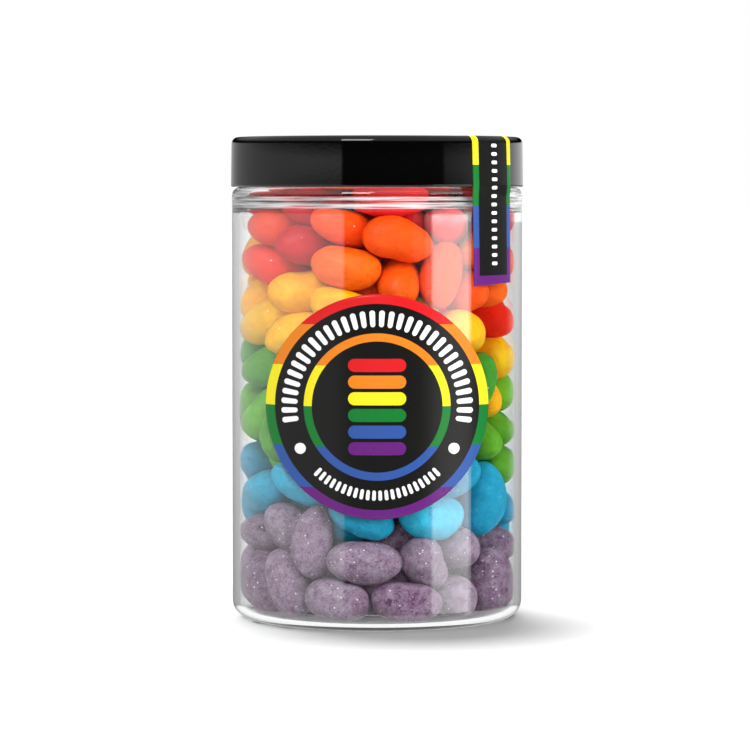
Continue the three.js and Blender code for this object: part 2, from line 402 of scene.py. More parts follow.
def six_colours(tree, share):
    """The print's six colours, in equal steps of share from 0 to 1."""
    ramp = tree.nodes.new("ShaderNodeValToRGB")
    ramp.color_ramp.interpolation = "CONSTANT"
    stops = ramp.color_ramp.elements
    while len(stops) < len(PRINT_COLOURS):
        stops.new(1.0)
    for number, (stop, colour) in enumerate(zip(stops, PRINT_COLOURS)):
        stop.position = number / len(PRINT_COLOURS)
        stop.color = (*colour, 1)
    connect(tree, ramp.inputs[0], share)
    return ramp.outputs[0]


def print_axes(tree):
    """The print's own two coordinates, in millimetres."""
    place = node(tree, "ShaderNodeAttribute", {"attribute_name": "print_place"}).outputs["Vector"]
    split = node(tree, "ShaderNodeSeparateXYZ", Vector=place)
    return split.outputs[0], split.outputs[1]


def between(tree, value, low, high):
    above = math_node(tree, "GREATER_THAN", value, low)
    below = math_node(tree, "LESS_THAN", value, high)
    return math_node(tree, "MULTIPLY", above, below)


def rounded_bar(tree, along, across, half_length, half_width):
    """1 inside a round-ended bar about the origin, else 0."""
    beyond = math_node(tree, "MAXIMUM", math_node(tree, "ABSOLUTE", along), half_length - half_width)
    beyond = math_node(tree, "SUBTRACT", beyond, half_length - half_width)
    return math_node(tree, "LESS_THAN", length_squared(tree, beyond, across), half_width**2)


def repeated(tree, value, pitch):
    """A value's distance from the middle of its own step of pitch."""
    steps = math_node(tree, "DIVIDE", value, pitch)
    middle = math_node(tree, "ADD", math_node(tree, "FLOOR", steps), 0.5)
    return math_node(tree, "MULTIPLY", math_node(tree, "SUBTRACT", steps, middle), pitch)


def either(tree, *masks):
    total = masks[0]
    for mask in masks[1:]:
        total = math_node(tree, "MAXIMUM", total, mask)
    return total


STRIPE = 11.5  # height of a colour in the label's rings
LABEL_RINGS = ((29.1, 40.0), (18.5, 20.8))  # inner and outer radius of each coloured ring
BARS_PITCH = 4.7
BARS_HALF_LENGTH = 8.2
BARS_HALF_WIDTH = 1.85
# The white marks: the angle from one to the next, the angles from the top where they start and end, the
# radius of their middles, and half their length and width.
DIALS = ((6.0, 0, 102, 24.9, 2.35, 0.75), (14.0, 112, 126, 24.9, 1.6, 1.55), (4.0, 136, 180, 25.0, 1.45, 0.5))


def dial(tree, radius, turn, step, first, last, middle, half_length, half_width):
    """A ring of round-ended marks that point to the label's middle."""
    aside = math_node(tree, "MULTIPLY", repeated(tree, turn, math.radians(step)), middle)
    outwards = math_node(tree, "SUBTRACT", radius, middle)
    mark = rounded_bar(tree, outwards, aside, half_length, half_width)
    return math_node(tree, "MULTIPLY", mark, between(tree, turn, math.radians(first), math.radians(last)))


def label_print():
    """Black, with two rings and six bars in the six colours, and a dial of plain white marks between."""
    material, tree, output = new_material("label_print")
    x, up = print_axes(tree)
    radius = math_node(tree, "SQRT", length_squared(tree, x, up))
    turn = math_node(tree, "ABSOLUTE", math_node(tree, "ARCTAN2", x, up))  # 0 at the top, pi at the bottom

    rings = either(tree, *(between(tree, radius, low, high) for low, high in LABEL_RINGS))
    in_bars = math_node(tree, "LESS_THAN", math_node(tree, "ABSOLUTE", up), 3 * BARS_PITCH)
    bars = rounded_bar(tree, x, repeated(tree, up, BARS_PITCH), BARS_HALF_LENGTH, BARS_HALF_WIDTH)
    bars = math_node(tree, "MULTIPLY", bars, in_bars)
    step = math_node(tree, "ADD", STRIPE, math_node(tree, "MULTIPLY", bars, BARS_PITCH - STRIPE))
    share = math_node(tree, "ADD", math_node(tree, "DIVIDE", math_node(tree, "DIVIDE", up, step), 6.0), 0.5)
    coloured = either(tree, rings, bars)

    marks = either(tree, *(dial(tree, radius, turn, *sizes) for sizes in DIALS))
    colour = mix_colour(tree, coloured, PRINT_BLACK, six_colours(tree, share))
    colour = mix_colour(tree, marks, colour, PRINT_WHITE)
    connect(tree, output.inputs["Surface"], label_shader(tree, colour).outputs[0])
    return material


STRIP_BORDER = 2.3
STRIP_STEP = 11.85  # length of a colour along the strip
STRIP_CUT = 1.45  # how much of its first colour is cut off
STRIP_DASHES = (4.8, 40.8)  # where the white dashes run
DASH_STEP = 2.4
DASH_HALF_LENGTH = 1.3
DASH_HALF_WIDTH = 0.5


def strip_print():
    """Black with a border that runs through the six colours, and a line of short white dashes."""
    material, tree, output = new_material("strip_print")
    aside, along = print_axes(tree)
    off_middle = math_node(tree, "ABSOLUTE", aside)
    near_side = math_node(tree, "GREATER_THAN", off_middle, STRIP_WIDTH / 2 - STRIP_BORDER)
    length = strip_length()
    centred = math_node(tree, "ABSOLUTE", math_node(tree, "SUBTRACT", along, length / 2))
    near_end = math_node(tree, "GREATER_THAN", centred, length / 2 - STRIP_BORDER - 0.3)
    border = either(tree, near_side, near_end)
    dashes = rounded_bar(tree, aside, repeated(tree, along, DASH_STEP), DASH_HALF_LENGTH, DASH_HALF_WIDTH)
    inner = between(tree, along, *STRIP_DASHES)
    share = math_node(tree, "DIVIDE", math_node(tree, "ADD", along, STRIP_CUT), 6 * STRIP_STEP)
    colour = mix_colour(tree, border, PRINT_BLACK, six_colours(tree, share))
    colour = mix_colour(tree, math_node(tree, "MULTIPLY", dashes, inner), colour, PRINT_WHITE)
    connect(tree, output.inputs["Surface"], label_shader(tree, colour).outputs[0])
    return material


WHITE_SUGAR = (0.95, 0.93, 0.97, 1)


def bean_marks(tree, place, sugar):
    """1 in the small dark specks of a bean's shell and in its wider, rarer pits, else 0."""
    specks = node(tree, "ShaderNodeTexVoronoi", Vector=place, Scale=620.0, Randomness=1.0)
    speck = spread(tree, specks.outputs["Distance"], 0.12, 0.24, 0.4 + 0.2 * sugar, 0.0)
    uneven = noise_colour(tree, place, 500)
    bend = node(tree, "ShaderNodeVectorMath", {"operation": "SCALE"}, _0=uneven, Scale=0.004)
    wavy = node(tree, "ShaderNodeVectorMath", _0=place, _1=bend.outputs[0]).outputs[0]
    pits = node(tree, "ShaderNodeTexVoronoi", Vector=wavy, Scale=110.0, Randomness=1.0)
    pit = spread(tree, pits.outputs["Distance"], 0.08, 0.15, 0.75 * sugar, 0.0)
    return either(tree, speck, pit)


def sugar_crystals(tree, place, sugar):
    """How white a place is with the few sugar crystals that cling to a bean."""
    crystals = node(tree, "ShaderNodeTexVoronoi", Vector=place, Scale=1100.0)
    lot = node(tree, "ShaderNodeSeparateColor", Color=crystals.outputs["Color"]).outputs[0]
    chosen = math_node(tree, "GREATER_THAN", lot, 1 - 0.09 * sugar)
    crystal = spread(tree, crystals.outputs["Distance"], 0.15, 0.3, 0.9, 0.0)
    return math_node(tree, "MULTIPLY", crystal, chosen)


def bean_shell(name, sugar):
    """A waxy sugar shell in each bean's own tint, mottled and specked. sugar, from 0 to 1, is its frosting.
    """
    material, tree, output = new_material(name)
    place = node(tree, "ShaderNodeTexCoord").outputs["Object"]
    tint = node(tree, "ShaderNodeAttribute", {"attribute_name": "tint"}).outputs["Color"]
    cloud = noise(tree, place, 420, 4, 0.65)
    grain = noise(tree, place, 1900, 4, 0.75)
    mark = bean_marks(tree, place, sugar)
    deeper = mix_colour(tree, 0.5 + 0.5 * sugar, tint, (0.88, 0.62, 0.66, 1), "MULTIPLY")
    lighter = mix_colour(tree, 0.004 + 0.14 * sugar**2, tint, (1.0, 0.9, 0.82, 1))
    darkest = mix_colour(tree, 1.0, tint, (0.5, 0.3, 0.4, 1), "MULTIPLY")
    frost = spread(tree, grain, 0.42, 0.7, 0.0, 0.006 + 0.24 * sugar**2)
    colour = mix_colour(tree, spread(tree, cloud, 0.34, 0.66, 0, 1), deeper, lighter)
    colour = mix_colour(tree, frost, colour, (0.8, 0.76, 0.8, 1))
    colour = mix_colour(tree, mark, colour, darkest)
    colour = mix_colour(tree, sugar_crystals(tree, place, sugar), colour, WHITE_SUGAR)
    dents = math_node(tree, "MULTIPLY", mark, -1.2)
    fine = math_node(tree, "MULTIPLY", grain, 0.35)
    height = math_node(tree, "ADD", math_node(tree, "ADD", cloud, dents), fine)
    bump = node(tree, "ShaderNodeBump", Strength=0.35, Distance=0.0004, Height=height)
    shader = node(
        tree,
        "ShaderNodeBsdfPrincipled",
        Base_Color=colour,
        Roughness=spread(tree, grain, 0.3, 0.75, 0.34, 0.5),
        IOR=1.33,
        Subsurface_Weight=0.5,
        Subsurface_Radius=(1.8, 1.0, 0.9),
        Subsurface_Scale=0.001,
        Normal=bump.outputs[0],
    )
    connect(tree, output.inputs["Surface"], shader.outputs[0])
    return material


# ---- The jar, the lid and the labels ----

inner_heel = HEEL_ROUND - WALL
neck_flare = flare(NECK_INSIDE, INSIDE, NECK_FLARE_TOP, NECK_FLARE_TILT, 10)
jar_profile = [
    (0, PUSH_UP),
    (1.6, PUSH_UP),
    (2.0, PUSH_UP + 0.3),
    (18, PUSH_UP + 0.3),
    (18.6, PUSH_UP),
    (PUSH_UP_RADIUS - 1, PUSH_UP),
    (PUSH_UP_RADIUS, PUSH_UP - 0.15),
    (RING_RADIUS - 0.6, 0.12),
    (RING_RADIUS, 0),
    *arc(JAR_RADIUS - HEEL_ROUND, HEEL_ROUND, HEEL_ROUND, -90, 0, 14),
    *upright(JAR_RADIUS, 5.3, 5.6, 0.2),
    *upright(JAR_RADIUS, 12, 118, 12),
    *upright(JAR_RADIUS, 123, 123.3, 0.2),
    *arc(JAR_RADIUS - SHOULDER_ROUND, SHOULDER_TOP - SHOULDER_ROUND, SHOULDER_ROUND, 0, 90, 10),
    (NECK_RADIUS + 0.4, SHOULDER_TOP),
    *upright(NECK_RADIUS, SHOULDER_TOP + 0.4, JAR_TOP - 1.6, 0.35),
    *arc(NECK_RADIUS - RIM_ROUND, JAR_TOP - RIM_ROUND, RIM_ROUND, 0, 90, 6),
    *arc(NECK_INSIDE + RIM_ROUND, JAR_TOP - RIM_ROUND, RIM_ROUND, 90, 180, 6),
    *upright(NECK_INSIDE, JAR_TOP - 3, NECK_FLARE_TOP + 0.5, 3),
    *neck_flare,
    *upright(INSIDE, 118.2, 117.8, 0.2),
    *upright(INSIDE, 114, 10, 12),
    *upright(INSIDE, 5.5, 5.3, 0.2),
    *arc(INSIDE - inner_heel, FLOOR + inner_heel, inner_heel, 0, -90, 10),
    (RING_RADIUS, FLOOR),
    (PUSH_UP_RADIUS, FLOOR + PUSH_UP),
    (0, FLOOR + PUSH_UP),
]


def jar_thread(number, azimuths, z):
    on_neck = jar_profile[number][0] == NECK_RADIUS
    return thread_height(azimuths, z, THREAD_START) if on_neck else 0


jar = turned("jar_body", jar_profile, clear_plastic(), jar_thread)
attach(jar, "root")
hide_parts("jar")

upper = LID_RADIUS - LID_DRAFT
lid_profile = [
    (0, LID_TOP - LID_THICKNESS),
    (LID_INSIDE - 0.6, LID_TOP - LID_THICKNESS),
    *upright(LID_INSIDE, LID_TOP - LID_THICKNESS - 0.4, LID_BOTTOM + 0.3, 0.35),
    *arc(LID_INSIDE + 0.3, LID_BOTTOM + 0.3, 0.3, 180, 270, 4),
    *arc(LID_RADIUS - LID_LIP_ROUND, LID_BOTTOM + LID_LIP_ROUND, LID_LIP_ROUND, -90, 0, 6),
    (LID_RADIUS - 0.01, LID_BOTTOM + LID_LIP_ROUND + 0.2),
    (LID_RADIUS - LID_DRAFT / 2, (LID_BOTTOM + LID_TOP) / 2),
    (upper + 0.01, LID_TOP - LID_EDGE_ROUND - 0.2),
    *arc(upper - LID_EDGE_ROUND, LID_TOP - LID_EDGE_ROUND, LID_EDGE_ROUND, 0, 90, 14),
    (upper - LID_EDGE_ROUND - 0.3, LID_TOP),
    (30, LID_TOP),
    (0, LID_TOP),
]


def lid_thread(number, azimuths, z):
    on_wall = lid_profile[number][0] == LID_INSIDE
    return -thread_height(azimuths, z, THREAD_START - THREAD_PITCH / 2) if on_wall else 0


lid = turned("screw_lid", lid_profile, lid_plastic(), lid_thread)
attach(lid, "root")
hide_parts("lid")

back_side = label_back()


def label_grid(radius):
    """The round label's points on a cylinder. The grid's squares are drawn out to a disc."""
    steps = np.linspace(-1, 1, 73)
    across, up = np.meshgrid(steps, steps)
    x = across * np.sqrt(1 - up**2 / 2) * LABEL_RADIUS
    z = up * np.sqrt(1 - across**2 / 2) * LABEL_RADIUS
    place = np.stack([x, -np.sqrt(radius**2 - x**2), z + LABEL_MIDDLE], axis=2)
    return place, np.stack([x, z], axis=2)


outer, marks = label_grid(JAR_RADIUS + PAPER_GAP + PAPER)
inner, _ = label_grid(JAR_RADIUS + PAPER_GAP)
label = sheet("label_disc", outer, inner, marks, [label_print(), back_side])
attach(label, "root")
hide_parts("round_label")


def strip_run(gap):
    """The strip's middle line, as (distance from the axis, height) at even steps of its length."""
    wall = JAR_RADIUS + gap
    skirt = LID_RADIUS + gap
    bend = LID_EDGE_ROUND + gap
    centre = upper - LID_EDGE_ROUND
    corners = [
        *upright(wall, STRIP_BOTTOM, SHOULDER_TOP - SHOULDER_ROUND, 1),
        (skirt, LID_BOTTOM + LID_LIP_ROUND),
        (upper + LID_DRAFT / 2 + gap, LID_BOTTOM + (LID_TOP - LID_BOTTOM) / 2),
        *arc(centre, LID_TOP - LID_EDGE_ROUND, bend, 0, 90, 10),
        (LID_RADIUS - STRIP_ON_TOP, LID_TOP + gap),
    ]
    corners = np.array(corners)
    lengths = np.concatenate([[0], np.cumsum(np.hypot(*np.diff(corners, axis=0).T))])
    even = np.linspace(0, lengths[-1], 289)
    return np.interp(even, lengths, corners[:, 0]), np.interp(even, lengths, corners[:, 1]), even


def strip_length():
    return strip_run(0)[2][-1]


def strip_grid(gap):
    """On the walls the strip wraps round the axis. On the flat top it runs straight in."""
    r, z, along = strip_run(gap)
    aside = np.linspace(-STRIP_WIDTH / 2, STRIP_WIDTH / 2, 25)
    lean = (LID_TOP - z[:, None]) * math.tan(STRIP_LEAN)
    aside_here = aside + lean
    turn = aside_here / JAR_RADIUS
    on_top = np.clip((upper - LID_EDGE_ROUND - r) / 4, 0, 1)[:, None]
    out = r[:, None] * (np.cos(turn) * (1 - on_top) + on_top)
    across = r[:, None] * np.sin(turn) * (1 - on_top) + aside_here * on_top
    s, c = math.sin(STRIP_AZIMUTH), math.cos(STRIP_AZIMUTH)
    slant = np.clip(1 - along / 3, 0, 1)[:, None] * aside * STRIP_SLANT
    height = z[:, None] + slant
    place = np.stack([out * s + across * c, across * s - out * c, height], axis=2)
    marks = np.stack(np.broadcast_arrays(aside[None, :], along[:, None]), axis=2)
    return place, marks


outer, marks = strip_grid(PAPER_GAP + PAPER)
inner, _ = strip_grid(PAPER_GAP)
strip = sheet("label_strip", outer, inner, marks, [strip_print(), back_side])
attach(strip, "root")
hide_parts("seal_strip")

# ---- The beans ----

BEANS = 248
HALF_LENGTH = (9.7, 11.0)
HALF_WIDTH = (5.9, 6.6)
END_ROUND = 0.88  # radius of a bean's ends beside that of its middle
HEAP_TOP = 135.8
NECK_ROOM = 37.6  # radius the beans keep to in the neck
CLEARANCE = 0.1  # between a bean and the plastic it lies against
START_TRIES = 40  # spots tried for each bean, of which the emptiest is taken
START_MARGIN = 7  # how far those spots stay from the wall
START_HEIGHTS = (8, 130)
SETTLING_STEPS = 900
GROWTH = (0.7, 0.75)  # the beans' size at the start, and how fast they grow to full size
PUSH = 0.9  # share of an overlap that is undone in a step
SINK = (0.03, 0.8)  # how far the beans sink in a step, and the share of the steps that it lasts
FRONT_EASE = 0.35  # how much less the beans at the front give way
FRONT_PULL = (0.25, 0.3, 0.85)  # pull back to their place and to their lean, and how long it lasts
SEED = 7

# Beans that show at the front: how far each lies to the right of the jar's middle as seen from the front, its
# height, the lean of its long axis from level, how far that points into the jar, and its tone, from the
# colour's deep end at 0 to its light end at 1. Millimetres and degrees.
FRONT = {
    "beans_red": [
        (-31, 118, 10, 40, 0.6), (-18, 117, 0, 50, 0.3), (3, 120, 0, 0, 0.9), (20, 114, 10, 40, 0.9),
        (36, 115, 60, 20, 0.1), (-18, 109, 0, 70, 0.3),
    ],
    "beans_orange": [
        (-24, 113, 50, 50, 0.25), (-27, 102, -50, 35, 0.1), (-11, 114, -10, 45, 0.4), (5, 110, -8, 0, 0.5),
        (-10, 105, -25, 0, 0.85), (3, 99, 60, 60, 0.65), (16, 102, 42, 0, 0.4), (22, 94, 0, 70, 0.5),
        (33, 87, 0, 60, 0), (36, 94, 30, 40, 0.8), (36, 104, 85, 20, 0.6),
    ],
    "beans_yellow": [
        (-36, 106, 85, 15, 0.25), (-22, 97, 55, 15, 0.5), (-10, 95, -30, 0, 0.55), (23, 86, -30, 30, 0.7),
        (-33, 91, 60, 35, 0.5), (-31, 83, 45, 20, 0.8), (-21, 86, -10, 20, 0.7), (33, 75, 60, 50, 0.95),
        (36, 64, 80, 30, 0.5),
    ],
    "beans_green": [
        (-36, 76, 85, 20, 0.3), (-34, 69, -20, 30, 0.5), (-30, 74, 30, 40, 0.4), (32, 64, 20, 30, 1),
        (-35, 59, 80, 10, 0.6), (-31, 61, 70, 30, 0.7), (-32, 49, -10, 30, 0.8), (35, 55, 0, 50, 0.7),
        (34, 45, 20, 20, 0.6),
    ],
    "beans_blue": [
        (-36, 46, 80, 0, 0.2), (-32, 38, -45, 10, 0.5), (-22, 40, -20, 10, 0.6), (-36, 29, -70, 20, 0.3),
        (-6, 31, 12, 0, 0.3), (14, 31, 15, 0, 0.9), (30, 36, 88, 0, 0.3), (35, 34, 60, 30, 0.1),
    ],
    "beans_purple": [
        (-21, 26, -60, 0, 0.6), (-30, 25, 40, 50, 0.5), (-6, 20, -8, 0, 0.7), (13, 19, -20, 10, 0.7),
        (22, 22, 10, 30, 0.9), (34, 21, 0, 55, 0.3), (34, 9, 75, 10, 0.3), (-34, 10, 80, 0, 0.6),
        (-25, 12, -70, 0, 0.6), (-12, 9, -45, 0, 0.65), (6, 8, -18, 0, 0), (22, 9, -60, 10, 1),
        (29, 10, 85, 10, 0.4),
    ],
}
SIDEMOST = math.radians(84)  # the furthest round that a bean of FRONT is put

# Each colour's upper edge at the wall, how much higher it lies on the left, its range of tints, and its
# frosting.
LAYERS = {
    "beans_purple": (28, 2.5, linear(98, 54, 108), linear(120, 104, 133), 1.0),
    "beans_blue": (49, 2, linear(0, 148, 186), linear(24, 190, 222), 0.25),
    "beans_green": (75, 7, linear(44, 144, 44), linear(112, 192, 30), 0.12),
    "beans_yellow": (92, 7, linear(252, 158, 0), linear(250, 208, 0), 0.06),
    "beans_orange": (111, 3, linear(244, 44, 12), linear(254, 118, 0), 0.06),
    "beans_red": (200, 0, linear(196, 4, 24), linear(230, 30, 36), 0.06),
}


def unit(vectors):
    return vectors / np.sqrt((vectors * vectors).sum(axis=-1, keepdims=True))


def start_places(random, half_length, half_width):
    """Where the beans start: those at the front as they lie, and the rest spread evenly in the room left."""
    front = np.array([place for places in FRONT.values() for place in places])
    across, height, lean, dip, _ = front.T
    lean, dip = np.radians(lean), np.radians(dip)
    count = len(front)
    reach = half_width[:count] + (half_length - half_width)[:count] * np.sin(dip)
    furthest = math.sin(SIDEMOST)
    azimuth = np.arcsin(np.clip(across / (INSIDE - reach), -furthest, furthest))
    outwards = np.stack([np.sin(azimuth), -np.cos(azimuth), np.zeros(count)], axis=1)
    sideways = np.stack([np.cos(azimuth), np.sin(azimuth), np.zeros(count)], axis=1)
    upwards = np.array([0, 0, 1.0])
    flat = np.cos(lean)[:, None] * sideways + np.sin(lean)[:, None] * upwards
    axes = np.cos(dip)[:, None] * flat - np.sin(dip)[:, None] * outwards
    centres = outwards * (INSIDE - reach)[:, None] + upwards * height[:, None]
    for _ in range(count, len(half_length)):
        r = (INSIDE - START_MARGIN) * np.sqrt(random.random(START_TRIES))
        turn = random.random(START_TRIES) * 2 * np.pi
        heights = random.uniform(*START_HEIGHTS, START_TRIES)
        spots = np.stack([r * np.cos(turn), r * np.sin(turn), heights], axis=1)
        gaps = ((spots[:, None] - centres[None]) ** 2).sum(axis=2).min(axis=1)
        centres = np.concatenate([centres, spots[[gaps.argmax()]]])
        axis = random.normal(size=3) * (1, 1, 0.7)
        axes = np.concatenate([axes, [axis]])
    return centres, unit(axes), count


def near_pairs(centres):
    """The numbers of all pairs of balls whose beans are close enough to touch."""
    apart = ((centres[:, None] - centres[None]) ** 2).sum(axis=2)
    one, other = np.nonzero(np.triu(apart < (2 * HALF_LENGTH[1] + 4) ** 2, 1))
    first = (one[:, None] * 3 + np.repeat(np.arange(3), 3)).ravel()
    second = (other[:, None] * 3 + np.tile(np.arange(3), 3)).ravel()
    return first, second


def pushed_apart(balls, radius, ease, first, second):
    """The balls after each overlap has pushed its two apart, the easier one further."""
    between_balls = balls[first] - balls[second]
    distance = np.sqrt((between_balls**2).sum(axis=1)) + 1e-9
    overlap = radius[first] + radius[second] - distance
    touching = overlap > 0
    a, b = first[touching], second[touching]
    push = between_balls[touching] * (overlap[touching] / distance[touching])[:, None]
    part = ease[a] / (ease[a] + ease[b])
    count = len(balls)
    moves = [
        np.bincount(a, push[:, k] * part, count) - np.bincount(b, push[:, k] * (1 - part), count)
        for k in range(3)
    ]
    contacts = np.bincount(a, minlength=count) + np.bincount(b, minlength=count)
    return balls + np.stack(moves, axis=1) * (PUSH / np.sqrt(np.maximum(1, contacts)))[:, None]


def settle(random, half_length, half_width):
    """Pushes overlapping beans apart inside the jar as they grow to full size. A bean is three balls in a
    row. Places are rounded at each step, so that every machine finds the same heap."""
    centres, axes, fixed = start_places(random, half_length, half_width)
    wanted = centres[:fixed].copy(), axes[:fixed].copy()
    count = len(centres)
    end = half_length - END_ROUND * half_width
    offsets = np.stack([-end, 0 * end, end], axis=1)
    radii = np.stack([END_ROUND * half_width, half_width, END_ROUND * half_width], axis=1)
    ease = np.ones(count)
    ease[:fixed] = FRONT_EASE
    ease = np.repeat(ease, 3)
    place_pull, lean_pull, pull_until = FRONT_PULL
    for step in range(SETTLING_STEPS):
        share = step / SETTLING_STEPS
        size = min(1, GROWTH[0] + GROWTH[1] * share)
        balls = (centres[:, None] + axes[:, None] * offsets[:, :, None] * size).reshape(-1, 3)
        radius = (radii * size).ravel()
        if step % 10 == 0:
            first, second = near_pairs(centres)
        balls = pushed_apart(balls, radius, ease, first, second)
        balls[:, 2] -= SINK[0] if share < SINK[1] else 0
        balls = keep_inside(balls, radius).reshape(count, 3, 3)
        centres = balls.mean(axis=1)
        axes = unit(balls[:, 2] - balls[:, 0])
        if share < pull_until:
            centres[:fixed] += place_pull * (wanted[0] - centres[:fixed])
            axes[:fixed] = unit(axes[:fixed] + lean_pull * (wanted[1] - axes[:fixed]))
        centres = centres.round(4)
        axes = axes.round(5)
    return centres, unit(axes), fixed


def keep_inside(balls, radius):
    """Moves balls back inside the jar: off its wall, its neck, its floor and its lid."""
    r = np.hypot(balls[:, 0], balls[:, 1])
    narrow = np.clip((balls[:, 2] - NECK_FLARE_TOP + 8) / 8, 0, 1)
    room = INSIDE + 0.35 + (NECK_ROOM - INSIDE) * narrow - radius
    shrink = np.minimum(1, room / np.maximum(r, 1e-9))
    balls[:, :2] *= shrink[:, None]
    ground = np.where(r < RING_RADIUS - 2, FLOOR + PUSH_UP, FLOOR) + radius
    balls[:, 2] = np.clip(balls[:, 2], ground, HEAP_TOP - radius)
    return balls


def pressed(points):
    """Bean points kept off the plastic: a bean that leans on the wall or the floor is a little flat there."""
    r = np.hypot(points[:, 0], points[:, 1])
    wall = np.array(neck_flare)[::-1]
    room = np.interp(points[:, 2], wall[:, 1], wall[:, 0]) - CLEARANCE
    points[:, :2] *= np.minimum(1, room / np.maximum(r, 1e-9))[:, None]
    slope = np.clip((RING_RADIUS - r) / (RING_RADIUS - PUSH_UP_RADIUS), 0, 1)
    heel = np.maximum(0, r - INSIDE + HEEL_ROUND - WALL) ** 2 / 2 / (HEEL_ROUND - WALL)
    points[:, 2] = np.maximum(points[:, 2], FLOOR + PUSH_UP * slope + heel + CLEARANCE)
    return points


def ball_grid(steps):
    """A ball of even quads, as unit vectors and faces: a cube's faces drawn out to a ball."""
    lines = np.tan(np.linspace(-np.pi / 4, np.pi / 4, steps + 1))
    places, faces = [], []
    known = {}
    for axis in range(3):
        for sign in (-1, 1):
            index = np.zeros((steps + 1, steps + 1), dtype=int)
            for i, u in enumerate(lines):
                for j, v in enumerate(lines):
                    corner = [0, 0, 0]
                    corner[axis], corner[(axis + 1) % 3], corner[(axis + 2) % 3] = sign, u * sign, v
                    key = tuple(np.round(corner, 6))
                    if key not in known:
                        known[key] = len(places)
                        places.append(corner)
                    index[i, j] = known[key]
            for i in range(steps):
                for j in range(steps):
                    faces.append((index[i, j], index[i + 1, j], index[i + 1, j + 1], index[i, j + 1]))
    return unit(np.array(places, dtype=float)), np.array(faces)


BALL, BALL_FACES = ball_grid(14)


def bean_points(random, half_length, half_width):
    """One bean about the origin, its length along X, bent towards +Y, with its own taper, waist and lumps."""
    along, side, front = BALL.T
    around = np.hypot(side, front) + 1e-9
    plump = random.uniform(1.95, 2.3)
    girth = (1 - np.abs(along) ** plump) ** (1 / 2.05) * half_width
    girth = girth * (1 + random.uniform(-0.1, 0.1) * along)
    x = along * half_length
    y = girth * side / around
    z = girth * front / around * random.uniform(0.94, 1.02)
    waist = np.exp(-((along / 0.5) ** 2))
    y = np.where(y > 0, y * (1 - random.uniform(0.02, 0.12) * waist), y)
    y = y + random.uniform(0.2, 1.5) * (along**2 - 0.35)
    place = np.stack([x, y, z], axis=1)
    for size, wave in ((0.1, 0.5), (0.04, 1.3)):
        for _ in range(3):
            direction = unit(random.normal(size=3))
            lump = np.sin(place @ (direction * wave) + random.uniform(0, 2 * np.pi))
            place = place + BALL * (size * lump)[:, None]
    return place


def make_beans():
    """All the beans, as one piece for each colour."""
    random = np.random.default_rng(SEED)
    half_length = random.uniform(*HALF_LENGTH, BEANS)
    half_width = random.uniform(*HALF_WIDTH, BEANS)
    centres, axes, fixed = settle(random, half_length, half_width)
    front_layers = [name for name, places in FRONT.items() for _ in places]
    tones = [place[4] for places in FRONT.values() for place in places]
    heaps = {name: [] for name in LAYERS}
    for number in range(BEANS):
        x, y, z = centres[number]
        leftness = -x / INSIDE
        layer = next(name for name, (top, tilt, *_) in LAYERS.items() if z - tilt * leftness < top)
        heaps[front_layers[number] if number < fixed else layer].append(number)
    for name, (_, _, tint_low, tint_high, sugar) in LAYERS.items():
        vertices, tints = [], []
        for number in heaps[name]:
            points = bean_points(random, half_length[number], half_width[number])
            ahead = axes[number]
            bend = unit(np.cross(ahead, random.normal(size=3)))
            turn = np.stack([ahead, bend, np.cross(ahead, bend)])
            vertices.append(pressed(points @ turn + centres[number]))
            share = tones[number] if number < fixed else random.random()
            tint = np.array(tint_low) * (1 - share) + np.array(tint_high) * share
            tints.append(np.tile([*tint * random.uniform(0.94, 1.03), 1], (len(points), 1)))
        faces = np.concatenate([BALL_FACES + len(BALL) * k for k in range(len(heaps[name]))])
        shell = bean_shell(name, sugar)
        piece = make_object(name + "_loose", np.concatenate(vertices), faces.tolist(), [shell])
        colours = piece.data.attributes.new("tint", "FLOAT_COLOR", "POINT")
        colours.data.foreach_set("color", np.concatenate(tints).ravel())
        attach(piece, "root")
        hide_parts(name)


make_beans()

# ---- The studio ----


FLOOR_WHITENESS = 0.36
FLOOR_REACH = 20000  # from the middle to each edge
DAYLIGHT = 0.72  # the soft light from all round

# What a level reflection meets, as (azimuth from the front towards +X in degrees, brightness): a wide white
# card on the left, black in front, and a narrow bright one with a soft near edge on the right. The cards
# stand lower than the lid, which mirrors softer ones above them.
CARDS = [
    (-180, 0.5), (-120, 0.8), (-60, 1.15), (-27, 1.1), (-26, 0.01), (28, 0.01), (29, 0.15), (38, 0.15),
    (38.5, 0.6), (44, 0.7), (45, 3.6), (79, 3.9), (80, 0.02), (128, 0.02), (146, 0.7), (180, 0.5),
]
HIGH_CARDS = [
    (-180, 0.7), (-141, 0.47), (-64, 0.73), (-28, 0.7), (-27, 0.02), (53, 0.02), (54, 0.3), (69, 0.45),
    (140, 1.2), (180, 0.9),
]
CARD_TOP = -0.0075  # climb of the reflections that just meet the cards' upper edge
CARD_RIM = (-0.0104, CARD_TOP)  # the narrow card has a brighter upper edge
LEVEL = -0.06  # climb of the reflections that meet the cards half way up
CARD_REACH = 0.1
CARD_FADE = 0.04  # the climb in which the cards fade out beyond their reach
RIM_EXTRA = 0.8  # how much brighter the upper edge of the narrow card is
CARD_DIMMING = (-0.12, -0.02, 0.66, 1)  # climbs between which the cards brighten, and their brightness there
CEILING = (0.2, 0.5, 0, 0.6)  # the same for the ceiling
GROUND = (-0.15, -0.23, 0, 1.0)  # and for the white floor


def is_mirrored(tree):
    """1 on a path that has been mirrored on its way, else 0."""
    path = node(tree, "ShaderNodeLightPath")
    return math_node(tree, "GREATER_THAN", path.outputs["Glossy Depth"], 0.5)


